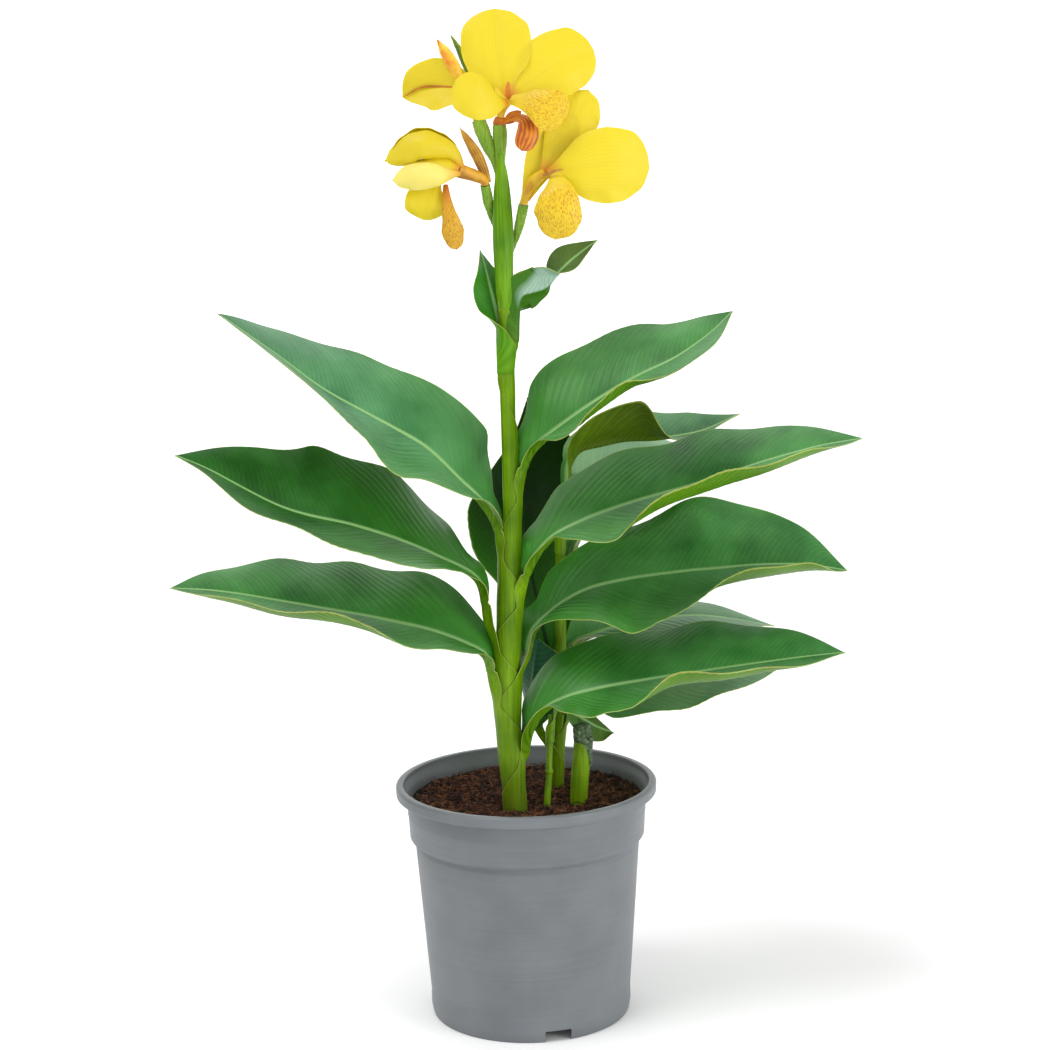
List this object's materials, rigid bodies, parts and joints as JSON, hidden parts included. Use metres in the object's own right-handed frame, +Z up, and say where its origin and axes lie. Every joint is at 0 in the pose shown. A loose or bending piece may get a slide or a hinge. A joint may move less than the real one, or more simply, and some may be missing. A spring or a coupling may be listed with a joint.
{
  "type": "canna lily plant",
  "caption": "Canna lily in flower, growing in a round plastic nursery pot, with paddle leaves in opposite ranks and yellow blooms on an upright stalk.",
  "frame": {"origin": "centre of the pot's underside, on the ground", "axes": "+Z up along the pot's axis, -Y towards the side the plant is seen from, leaves to -X and +X"},
  "size_m": [0.4781, 0.2141, 0.722],
  "materials": {
    "pot": "satin grey injection-moulded polypropylene",
    "soil": "matt dark brown potting soil with coir fibres",
    "leaf": "satin waxy bluish green leaf",
    "stem": "satin yellow-green stem and leaf sheaths",
    "bract": "satin pale green bract",
    "petal": "soft satin yellow petal",
    "calyx": "soft orange-brown calyx and tepals",
    "cut_stem": "dry grey-green cut stem"
  },
  "bodies": {
    "root": {"pot": "pot", "soil": "soil", "stem_main": "stem", "stem_back": "stem", "stem_thin": "stem", "stem_stump": "cut_stem", "leaf_left_upper": "leaf", "leaf_left_middle": "leaf", "leaf_left_lower": "leaf", "leaf_right_upper": "leaf", "leaf_right_second": "leaf", "leaf_right_third": "leaf", "leaf_right_lower": "leaf", "leaf_top_left": "leaf", "leaf_top_right": "leaf", "leaf_back_upper": "leaf", "leaf_back_pale": "leaf", "leaf_back_middle": "leaf", "leaf_back_lower": "leaf", "leaf_back_shaded": "leaf", "leaf_back_low_left": "leaf", "leaf_young": "leaf", "bract": "bract", "calyx_upper": "calyx", "calyx_left": "calyx", "bloom_upper": "petal", "bloom_far_left": "petal", "bloom_right": "petal", "bloom_left": "petal"}
  },
  "joints": []
}
